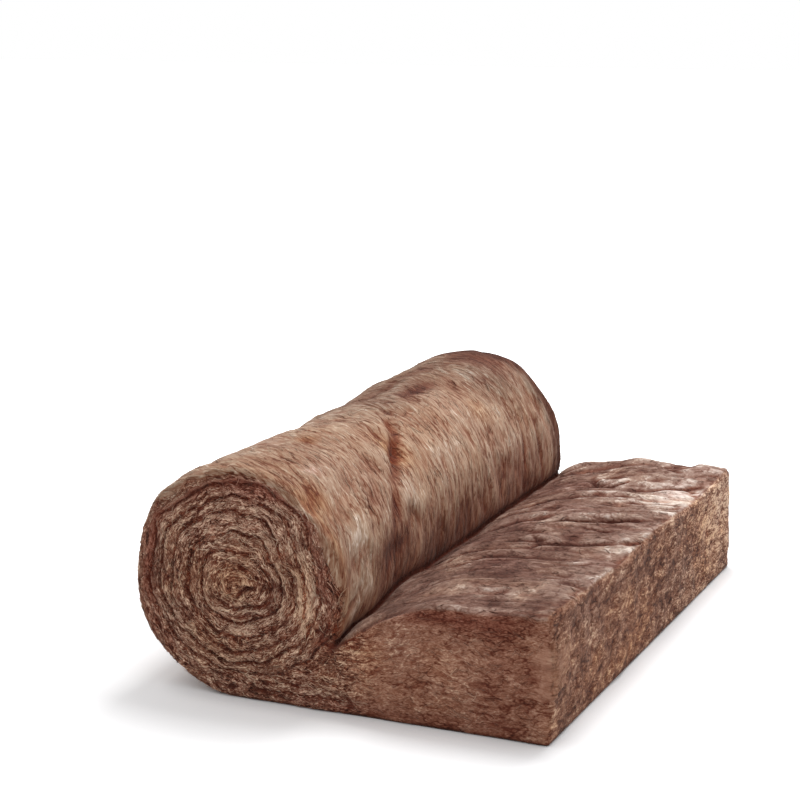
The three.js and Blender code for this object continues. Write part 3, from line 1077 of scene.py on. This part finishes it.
# what the finish needs to know at each point, and a value whose level lines the fibres follow
def finishOf(at, links):
    onSkin = 1 - at.side
    at.onEnd = at.end * onSkin
    at.onRoll, at.onLaid = (1 - at.laid) * onSkin, at.laid * (1 - at.end) * onSkin
    at.dented = at.onRoll * rollDented(at.y, at.arc)
    # painted shade beside the crease, fading with distance from it
    at.glow = np.exp(-at.fromCrease / shading["creaseShadeReach"])
    # a thin painted shade line along the crease
    line = blend(*shading["creaseShadeLine"], np.exp(-at.y / shading["creaseNarrows"]))
    crease = bell((at.fromCrease, line)) * (1 - shading["breakPale"] * at.faint)

    # the skin's grain runs on round the sides' edges
    inset = np.maximum(at.roll.radius - np.hypot(at.fromX, at.z - at.roll.radius), 0) * (1 - at.laid)
    alongSkin = np.where(at.isFar, at.y + inset, at.y - inset) + rollLook["lean"] * at.arc
    (place, reach), (aside, breadth) = shading["brushed"]
    brushed = bell((at.y - place, reach), (at.arc - aside, breadth))
    across = blend(alongSkin, at.arc, brushed)
    across = blend(blend(across, at.y, at.laid), at.z, at.end)
    across = np.where(at.side > 0.5, at.depth, across)

    tone, warmth = tonesOf(at)
    wisps, grain, threads = liveliness(at)
    curl, heartCurl = shading["curl"]
    attributes = {
        "sideShare": at.side,
        "laidShare": at.laid * (1 - at.end),
        "endShare": at.end,
        "hollowShade": hollowShadeOf(at, links) * byRegion(at, shading["hollowShade"]) * wisps + paintedRedShade(at),
        "tone": tone,
        "warmth": warmth,
        "grey": np.clip(at.onRoll * rollGrey(at.place, at.y, at.arc), 0, 1),
        # painted shade in the sides' gaping seams and cracks, and along the crease
        "gap": np.clip(at.gape * at.side + crease, 0, 1),
        "contrast": byRegion(at, shading["contrast"]) * wisps,
        "fine": byRegion(at, shading["fine"]) * grain,
        "threads": byRegion(at, shading["threads"]) * threads,
        "curl": (curl + heartCurl * at.heart) * (1 - shading["slabCurl"] * slabShare(at.fromX)),
        "mottle": byRegion(at, shading["mottle"]),
        "sideGrain": np.stack([at.depth, at.x, at.z], axis=1),
        "rollGrain": np.stack([alongSkin, at.arc, 0 * at.y], axis=1),
        "strand": np.zeros(len(at.x)),
    }
    return attributes, across


def addAttributes(mesh, attributes):
    for name, values in attributes.items():
        isVector = values.ndim == 2
        kind, field = ("FLOAT_VECTOR", "vector") if isVector else ("FLOAT", "value")
        layer = mesh.attributes.new(name, kind, "POINT")
        layer.data.foreach_set(field, np.asarray(values, np.float32).ravel())


def colour(red, green, blue):
    parts = [c / 255 for c in (red, green, blue)]
    return tuple(c / 12.92 if c <= 0.04045 else ((c + 0.055) / 1.055) ** 2.4 for c in parts) + (1,)


finish = {
    "tonePlaces": (0.0, 0.3, 0.5, 0.7, 1.0),  # on the scale from dark to pale
    "tones": {
        "roll": [(74, 30, 18), (113, 69, 50), (147, 114, 93), (172, 147, 127), (226, 211, 199)],
        "laid": [(48, 20, 13), (72, 40, 31), (104, 73, 62), (142, 117, 105), (220, 207, 197)],
        "end": [(50, 18, 10), (87, 47, 32), (117, 77, 59), (151, 114, 95), (218, 188, 162)],
        "side": [(50, 15, 6), (95, 50, 35), (131, 88, 69), (163, 122, 102), (228, 197, 170)],
    },
    "warm": (255, 234, 209),
    "cool": (238, 212, 213),
    "deep": (230, 166, 136),  # the reddish tint of painted shade in hollows, beside the crease and in dents
    # colour of the painted shade in gaps
    "gap": (92, 42, 30),
    # tint of the roll's greyer wool and of the painted shade at its far rim
    "grey": (168, 190, 205),
    "swirl": (38.0, 0.014),  # its scale and how far it bends the grain
    "rollSwirl": 0.45,  # share of it on the roll
    "stretch": {  # of the grain, each way
        "roll": (0.56, 0.10, 1.0),
        "laid": (0.28, 0.30, 0.42),
        "end": (0.45, 0.18, 0.54),
        "side": (1.1, 0.28, 0.28),
    },
    "wisps": (170.0, 3.0, 0.62),  # scale, detail and roughness
    "grain": (620.0, 2.0, 0.6),
    "patches": (22.0, 3.0, 0.5),
    "patchStretch": (1.0, 0.5, 1.0),
    "paleFrom": (0.45, 0.60),  # patches where dark threads give way to pale ones
    "paleThreads": 118.0,  # scales
    "darkThreads": 96.0,
    "threadNoise": (2.0, 0.5),  # detail and roughness
    "thinness": 21.0,
    "streakGain": 1.15,
    "fineGain": 1.00,
    "mottleGain": 0.80,
    "threadGain": 0.28,
    "darkThreadGain": 0.40,
    "threadEvening": 0.12,
    "threadMean": 0.59,
    # how much the painted shade darkens hollows and pales proud wool
    "hollowShadeGain": 0.28,
    "toneGain": 0.34,
    "strandGain": 0.06,
    "patchWarmth": 2.0,
    # how strongly that painted shade is tinted red
    "shadeRedGain": 1.2,
    "roughness": (0.82, 1.0),
    "specular": 0.09,
    "sheen": 0.14,
    "sheenTint": (1.0, 0.80, 0.66, 1),
    "sheenRoughness": 0.5,
    "bump": 0.9,
    "bumpDistance": 0.0035,
    "grainBump": 0.35,  # beside that of the wisps
    "threadBump": 0.2,
}


class Nodes:
    def __init__(self, tree):
        self.tree = tree

    def add(self, kind, inputs=None, **settings):
        node = self.tree.nodes.new(kind)
        for name, value in settings.items():
            setattr(node, name, value)
        for name, value in (inputs or {}).items():
            self.join(value, node.inputs[name])
        return node

    def join(self, value, socket):
        if isinstance(value, bpy.types.NodeSocket):
            self.tree.links.new(value, socket)
        else:
            socket.default_value = value

    def math(self, operation, first, second=0.0):
        return self.add("ShaderNodeMath", {0: first, 1: second}, operation=operation).outputs[0]

    def attribute(self, name, output="Fac"):
        return self.add("ShaderNodeAttribute", attribute_name=name).outputs[output]

    def noise(self, vector, scale, detail=4.0, rough=0.6):
        inputs = {"Vector": vector, "Scale": scale, "Detail": detail, "Roughness": rough}
        return self.add("ShaderNodeTexNoise", inputs).outputs["Fac"]

    def vector(self, operation, first, second):
        return self.add("ShaderNodeVectorMath", {0: first, 1: second}, operation=operation).outputs[0]

    def product(self, first, second):
        return self.math("MULTIPLY", first, second)

    # a value of 0 to 1 measured from its middle, times a level
    def around(self, value, level, middle=0.5):
        return self.product(self.math("SUBTRACT", value, middle), level)

    def clamped(self, value):
        return self.add("ShaderNodeClamp", {"Value": value}).outputs[0]

    def value(self, share, first, second):
        return self.add("ShaderNodeMix", {0: share, 2: first, 3: second}).outputs[0]

    # adds a share of the value, measured from its middle, to the sum
    def plus(self, total, value, gain, middle=0.0):
        return self.math("ADD", total, self.around(value, gain, middle))

    def ramp(self, factor, tones):
        node = self.add("ShaderNodeValToRGB", {"Fac": factor})
        band = node.color_ramp
        while len(band.elements) < len(tones):
            band.elements.new(0.5)
        for element, place, tone in zip(band.elements, finish["tonePlaces"], tones):
            element.position = place
            element.color = colour(*tone)
        return node.outputs["Color"]

    def mix(self, factor, first, second, kind="MIX"):
        node = self.add("ShaderNodeMix", data_type="RGBA", blend_type=kind)
        self.join(factor, node.inputs["Factor"])
        self.join(first, node.inputs["A"])
        self.join(second, node.inputs["B"])
        return node.outputs["Result"]


# the four grains' own coordinates, each with the share of its kind of face. A swirl bends them.
def woolGrains(nodes, own):
    scale, reach = finish["swirl"]
    swirl = nodes.add("ShaderNodeTexNoise", {"Vector": own, "Scale": scale, "Detail": 2.0})
    swirl = nodes.vector("SUBTRACT", swirl.outputs["Color"], (0.5, 0.5, 0.5))
    bent = nodes.vector("MULTIPLY", swirl, (reach,) * 3)
    placed = nodes.vector("ADD", own, bent)
    curl = nodes.attribute("curl")
    curled = nodes.add("ShaderNodeVectorMath", {0: bent, "Scale": curl}, operation="SCALE")
    sideGrain = nodes.vector("ADD", nodes.attribute("sideGrain", "Vector"), curled.outputs[0])
    lessBent = nodes.vector("MULTIPLY", bent, (finish["rollSwirl"],) * 3)
    rollGrain = nodes.vector("ADD", nodes.attribute("rollGrain", "Vector"), lessBent)
    return [
        (share, nodes.vector("MULTIPLY", grain, finish["stretch"][face]))
        for share, face, grain in (
            (None, "roll", rollGrain),
            ("laidShare", "laid", placed),
            ("endShare", "end", placed),
            ("sideShare", "side", sideGrain),
        )
    ]


# noise that follows each face's own grain
def alongGrains(nodes, grains, scale, detail, rough):
    total = None
    for share, grain in grains:
        value = nodes.noise(grain, scale, detail, rough)
        total = nodes.value(nodes.attribute(share), total, value) if share else value
    return total


# thin wandering lines, which come and go
def woolThreads(nodes, grains, scale, shows):
    value = alongGrains(nodes, grains, scale, *finish["threadNoise"])
    away = nodes.math("ABSOLUTE", nodes.math("SUBTRACT", value, 0.5))
    line = nodes.math("SUBTRACT", 1.0, nodes.product(away, finish["thinness"]))
    line = nodes.product(nodes.math("MAXIMUM", line, 0.0), nodes.attribute("threads"))
    return nodes.product(line, shows)


# wool in its own tones, before what tints it
def woolTones(nodes, factor):
    wool = nodes.ramp(factor, finish["tones"]["roll"])
    for face in ("laid", "end", "side"):
        tones = nodes.ramp(factor, finish["tones"][face])
        wool = nodes.mix(nodes.attribute(face + "Share"), wool, tones)
    return wool


def woolMaterial(name):
    material = bpy.data.materials.new(name)
    material.use_nodes = True
    nodes = Nodes(material.node_tree)
    shader = material.node_tree.nodes["Principled BSDF"]
    own = nodes.add("ShaderNodeTexCoord").outputs["Object"]
    hollowShade = nodes.attribute("hollowShade")
    grains = woolGrains(nodes, own)
    streak = alongGrains(nodes, grains, *finish["wisps"])
    fine = alongGrains(nodes, grains, *finish["grain"])
    patches = nodes.noise(nodes.vector("MULTIPLY", own, finish["patchStretch"]), *finish["patches"])
    low, high = finish["paleFrom"]
    shows = nodes.add("ShaderNodeMapRange", {"Value": patches, "From Min": low, "From Max": high})
    shows = shows.outputs[0]
    pale = woolThreads(nodes, grains, finish["paleThreads"], shows)
    dark = woolThreads(nodes, grains, finish["darkThreads"], nodes.math("SUBTRACT", 1.0, shows))
    evened = nodes.math("SUBTRACT", finish["threadMean"], shows)
    evened = nodes.product(evened, nodes.attribute("threads"))

    factor = nodes.product(nodes.around(streak, finish["streakGain"]), nodes.attribute("contrast"))
    factor = nodes.math("ADD", factor, 0.5)
    mottle = nodes.around(patches, nodes.attribute("mottle"))
    for value, gain in (
        (mottle, finish["mottleGain"]),
        (nodes.around(fine, nodes.attribute("fine")), finish["fineGain"]),
        (pale, finish["threadGain"]),
        (dark, -finish["darkThreadGain"]),
        (evened, finish["threadEvening"]),
        (nodes.attribute("tone"), finish["toneGain"]),
        (nodes.attribute("strand"), finish["strandGain"]),
        (hollowShade, -finish["hollowShadeGain"]),
    ):
        factor = nodes.plus(factor, value, gain)
    warmth = nodes.plus(nodes.attribute("warmth"), mottle, finish["patchWarmth"])
    wool = woolTones(nodes, factor)
    # the deep tint is painted shade in hollows, beside the crease and in dents
    for share, tint in (
        (nodes.clamped(warmth), "warm"),
        (nodes.clamped(nodes.product(warmth, -1.0)), "cool"),
        (nodes.clamped(nodes.product(hollowShade, finish["shadeRedGain"])), "deep"),
        (nodes.attribute("grey"), "grey"),
    ):
        wool = nodes.mix(share, wool, colour(*finish[tint]), "MULTIPLY")
    # painted shade in the gaps
    wool = nodes.mix(nodes.attribute("gap"), wool, colour(*finish["gap"]))
    nodes.join(wool, shader.inputs["Base Color"])

    low, high = finish["roughness"]
    rough = nodes.add("ShaderNodeMapRange", {"Value": streak, "To Min": low, "To Max": high})
    nodes.join(rough.outputs[0], shader.inputs["Roughness"])
    shader.inputs["Specular IOR Level"].default_value = finish["specular"]
    shader.inputs["Sheen Weight"].default_value = finish["sheen"]
    shader.inputs["Sheen Roughness"].default_value = finish["sheenRoughness"]
    shader.inputs["Sheen Tint"].default_value = finish["sheenTint"]
    height = nodes.plus(streak, fine, finish["grainBump"], 0.5)
    height = nodes.plus(height, pale, finish["threadBump"])
    bumps = {"Height": height, "Strength": finish["bump"], "Distance": finish["bumpDistance"]}
    nodes.join(nodes.add("ShaderNodeBump", bumps).outputs["Normal"], shader.inputs["Normal"])
    return material


def addPiece(name, points, faces, attributes, material):
    placed = np.asarray(points) + (axisX, nearY, 0.0)
    mesh = meshFrom(name, placed, faces)
    addAttributes(mesh, attributes)
    mesh.materials.append(material)
    piece = bpy.data.objects.new(name, mesh)
    bpy.context.scene.collection.objects.link(piece)
    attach(piece, "root")
    return piece


def split(faces):
    quads = [f for f in faces if f.shape[1] == 4]
    halves = [q[:, part] for q in quads for part in ([0, 1, 2], [0, 2, 3])]
    return np.concatenate([f for f in faces if f.shape[1] == 3] + halves)


def unit(vectors):
    return vectors / np.maximum(np.linalg.norm(vectors, axis=-1, keepdims=True), 1e-12)


# loose fibres, each a closed spindle
fibres = {
    "sections": (0.25, 0.5, 0.75),  # where along a fibre its three middle sections lie
    "flatness": 0.25,
    "taper": 0.7,
    "shortness": 1.6,  # the higher, the fewer are long
    "thinness": 3,
    "tuck": 0.0012,  # how deep the two ends go into the body
    "floorGap": 0.0004,
    "clearOfFloor": 0.004,  # height from which the wool has any
    "leastShare": 0.1,  # kept where the wool is calmest
}


# places on the surface, picked by weight, with the two directions along and across the grain there
def fibreRoots(surface, weights, count, source):
    corners = surface.points[surface.triangles]
    crossed = np.cross(corners[:, 1] - corners[:, 0], corners[:, 2] - corners[:, 0])
    chance = np.linalg.norm(crossed, axis=1) * weights[surface.triangles].mean(axis=1)
    chosen = source.choice(len(surface.triangles), count, p=chance / chance.sum())
    shares = source.dirichlet((1, 1, 1), count)
    root = np.einsum("nk,nkd->nd", shares, corners[chosen])
    outward = unit(crossed[chosen])
    grain = surface.across[surface.triangles[chosen]]
    edges = corners[chosen][:, [2, 0, 1]] - corners[chosen][:, [1, 2, 0]]
    slope = np.einsum("nk,nkd->nd", grain, np.cross(outward[:, None], edges))
    along = unit(np.cross(outward, slope))
    return surface.triangles[chosen], root, along, np.cross(outward, along)


# each fibre's middle line, laid on the surface, with the surface's own direction at each station, and
# each fibre's width
def fibreLines(surface, root, along, across, look, source):
    count = len(root)
    length = blend(*look["length"], source.random(count) ** fibres["shortness"])
    width = blend(*look["width"], source.random(count) ** fibres["thinness"])
    bend = source.normal(0, look["bend"], count) * length
    lift = look["lift"] * source.random(count) ** 2
    loose = source.random(count) < look["looseShare"]
    rise = np.where(loose, look["looseRise"] * source.random(count), 0)
    centres, ups = [], []
    for share in (0.0, *fibres["sections"], 1.0):
        away = share - 0.5
        middle = 1 - 4 * away * away
        place = root + along * (away * length)[:, None] + across * (bend * middle)[:, None]
        found = [surface.tree.find_nearest(Vector(p)) for p in place]
        onBody = np.array([f[0] for f in found])
        up = np.array([f[1] for f in found])
        height = lift * middle - fibres["tuck"] * (1 - middle) + rise * share**2
        centre = onBody + up * height[:, None]
        centre[:, 2] = np.maximum(centre[:, 2], fibres["floorGap"] + width / 2)
        centres.append(centre)
        ups.append(up)
    return centres, ups, width


# a closed spindle round each line: a tip, three rings of three points and another tip
def spindles(centres, ups, width):
    rings = [centres[0][:, None]]
    for k, share in enumerate(fibres["sections"], start=1):
        forward = unit(centres[k + 1] - centres[k - 1])
        aside = unit(np.cross(ups[k], forward))
        over = np.cross(forward, aside) * fibres["flatness"]
        half = width / 2 * math.sin(math.pi * share) ** fibres["taper"]
        ring = []
        for spoke in (0, fullTurn / 3, 2 * fullTurn / 3):
            ring.append(centres[k] + (aside * math.cos(spoke) + over * math.sin(spoke)) * half[:, None])
        rings.append(np.stack(ring, axis=1))
    rings.append(centres[-1][:, None])
    made = np.concatenate(rings, axis=1)
    count, each = made.shape[:2]
    tips = [(0, 1 + (k + 1) % 3, 1 + k) for k in range(3)]
    tips += [(each - 1, each - 4 + k, each - 4 + (k + 1) % 3) for k in range(3)]
    walls = [
        (first + k, first + (k + 1) % 3, first + 3 + (k + 1) % 3, first + 3 + k)
        for first in range(1, each - 4, 3)
        for k in range(3)
    ]
    starts = (np.arange(count) * each)[:, None, None]
    faces = [(starts + np.array(group)).reshape(-1, len(group[0])) for group in (tips, walls)]
    return made, faces


# scatters fibres by weight, each along the grain and in the wool's own tones
def addFibres(name, surface, weights, look, seed):
    source = np.random.default_rng(seed)
    count = look["count"]
    corners, root, along, across = fibreRoots(surface, weights, count, source)
    swirl = look["swirl"] * noise(root, look["swirlSize"], seed + 1, octaves=2)
    turn = (swirl + source.normal(0, look["scatter"], count))[:, None]
    along, across = (
        along * np.cos(turn) + across * np.sin(turn),
        across * np.cos(turn) - along * np.sin(turn),
    )
    made, faces = spindles(*fibreLines(surface, root, along, across, look, source))
    each = made.shape[1]
    own = {}
    for key, values in surface.attributes.items():
        own[key] = np.repeat(values[corners].mean(axis=1), each, axis=0)
    shows = np.sqrt(weights[corners].mean(axis=1))  # few and faint where the wool is smooth
    own["strand"] = np.repeat(source.normal(0, look["contrast"], count) * shows, each)
    addPiece(name, made.reshape(-1, 3), faces, own, wool)
    print(name + ":", count, "fibres,", sum(len(f) * (f.shape[1] - 2) for f in faces), "triangles")


wool = woolMaterial("brown mineral wool")
plainPoints, bodyFaces = plainBody()
plainMesh = meshFrom("plain body", plainPoints, bodyFaces)
plainNormals = vertexNormals(plainMesh)
regions = regionsOf(plainPoints, plainNormals)
bodyPoints = shapedPoints(regions, plainPoints, plainNormals)
bodyAttributes, acrossFibres = finishOf(regions, linksOf(bodyFaces))
woolBody = addPiece("wool_body", bodyPoints, bodyFaces, bodyAttributes, wool)
bpy.data.meshes.remove(plainMesh)
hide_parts("wool_blanket")
bodyTriangles = split(bodyFaces)
print("body of wool:", len(bodyPoints), "points,", len(bodyTriangles), "triangles")

surface = SimpleNamespace(
    points=bodyPoints,
    triangles=bodyTriangles,
    attributes=bodyAttributes,
    across=acrossFibres,
    tree=BVHTree.FromPolygons([Vector(p) for p in bodyPoints], bodyTriangles.tolist()),
)
sideFibres = {
    "count": 10800,
    "length": (0.010, 0.045),
    "width": (0.0005, 0.0024),
    "lift": 0.0018,
    "bend": 0.16,
    "scatter": 0.50,
    "contrast": 2.6,  # of the fibres' tones
    "swirl": 0.6,
    "swirlSize": 0.030,
    "looseShare": 0.10,
    "looseRise": 0.006,
}
rollFibres = dict(sideFibres, length=(0.015, 0.070), scatter=0.28, contrast=1.0, looseRise=0.012)
laidFibres = dict(sideFibres, length=(0.008, 0.036), lift=0.0014, scatter=0.90, contrast=1.1)
fewer = dict(sideFibres, count=8600)
aboveFloor = bodyPoints[:, 2] > fibres["clearOfFloor"]
lively = bodyAttributes["threads"] / shading["threads"]["side"]
sideWeight = bodyAttributes["sideShare"] * np.clip(lively, fibres["leastShare"], 1) ** 2
addFibres("fibres_near_side", surface, sideWeight * ~regions.isFar * aboveFloor, fewer, 301)
addFibres("fibres_far_side", surface, sideWeight * regions.isFar * aboveFloor, fewer, 302)
skinWeight = (1 - bodyAttributes["sideShare"]) * aboveFloor
laidWeight = bodyAttributes["laidShare"] + bodyAttributes["endShare"]
addFibres("fibres_roll", surface, skinWeight * (1 - laidWeight), rollFibres, 303)
addFibres("fibres_laid_end", surface, skinWeight * laidWeight, laidFibres, 304)


studio = {
    "floorSize": 60.0,
    "floorColour": (0.86, 0.86, 0.87, 1),
    "floorRoughness": 0.9,
    "fadeFrom": 0.8,  # beyond this distance the floor fades to plain white
    "fadeTo": 2.0,
    "lift": 0.18,  # how much whiter the floor looks to the camera than its light makes it
    "contactReach": 0.06,  # but not close to the wool, where this paints a contact shadow on the floor
    "contactPower": 2.0,
    "worldStrength": 0.75,
    "keySize": (1.8, 1.8),
    "keyPlace": (0.1, 1.0, 3.0),
    "keyTarget": (0, 0, 0.2),
    "keyPower": 95.0,
    "cameraPlace": (1.6643, -3.0155, 1.2617),  # from the roll's axis at its near end
    "cameraDown": 0.2023,  # radians below level
    "cameraTurn": 0.4177,  # radians left of straight along the roll
    "lens": 88.57,
}


def addFloor():
    half = studio["floorSize"] / 2
    corners = np.array([(-half, -half, 0), (half, -half, 0), (half, half, 0), (-half, half, 0)])
    mesh = meshFrom("floor", corners, [np.array([[0, 1, 2, 3]])])
    floor = bpy.data.objects.new("floor", mesh)
    bpy.context.scene.collection.objects.link(floor)
    material = bpy.data.materials.new("white floor")
    material.use_nodes = True
    nodes = Nodes(material.node_tree)
    shader = material.node_tree.nodes["Principled BSDF"]
    shader.inputs["Base Color"].default_value = studio["floorColour"]
    shader.inputs["Roughness"].default_value = studio["floorRoughness"]
    shader.inputs["Emission Color"].default_value = (1, 1, 1, 1)
    toCamera = nodes.add("ShaderNodeLightPath").outputs["Is Camera Ray"]
    own = nodes.add("ShaderNodeTexCoord").outputs["Object"]
    away = nodes.add("ShaderNodeVectorMath", {0: own}, operation="LENGTH").outputs["Value"]
    near, far = studio["fadeFrom"], studio["fadeTo"]
    fade = nodes.add("ShaderNodeMapRange", {"Value": away, "From Min": near, "From Max": far})
    fade.inputs["To Min"].default_value = studio["lift"]
    # painted contact shadow: the floor's whitening fades out near the wool
    contact = nodes.add("ShaderNodeAmbientOcclusion", {"Distance": studio["contactReach"]})
    unshaded = nodes.math("POWER", contact.outputs["AO"], studio["contactPower"])
    lit = nodes.product(fade.outputs[0], unshaded)
    nodes.join(nodes.product(toCamera, lit), shader.inputs["Emission Strength"])
    mesh.materials.append(material)


def addWorld():
    world = bpy.data.worlds.new("studio")
    bpy.context.scene.world = world
    world.use_nodes = True
    nodes = Nodes(world.node_tree)
    background = world.node_tree.nodes["Background"]
    background.inputs["Color"].default_value = (1, 1, 1, 1)
    toCamera = nodes.add("ShaderNodeLightPath").outputs["Is Camera Ray"]
    level = nodes.add("ShaderNodeMapRange", {"Value": toCamera, "To Min": studio["worldStrength"]})
    nodes.join(level.outputs[0], background.inputs["Strength"])


def addLamp():
    lamp = bpy.data.lights.new("overhead softbox", "AREA")
    lamp.shape = "RECTANGLE"
    lamp.size, lamp.size_y = studio["keySize"]
    lamp.energy = studio["keyPower"]
    holder = bpy.data.objects.new("overhead softbox", lamp)
    place = Vector(studio["keyPlace"])
    holder.location = place
    towards = Vector(studio["keyTarget"]) - place
    holder.rotation_euler = towards.to_track_quat("-Z", "Y").to_euler()
    bpy.context.scene.collection.objects.link(holder)


def addCamera():
    data = bpy.data.cameras.new("camera")
    data.lens = studio["lens"]
    data.sensor_width = 36
    camera = bpy.data.objects.new("camera", data)
    camera.location = Vector(studio["cameraPlace"]) + Vector((axisX, nearY, 0))
    camera.rotation_euler = (math.pi / 2 - studio["cameraDown"], 0, studio["cameraTurn"])
    bpy.context.scene.collection.objects.link(camera)
    bpy.context.scene.camera = camera


addFloor()
addWorld()
addLamp()
addCamera()
bpy.context.scene.view_settings.view_transform = "Standard"
print("floor, light and camera are in place")
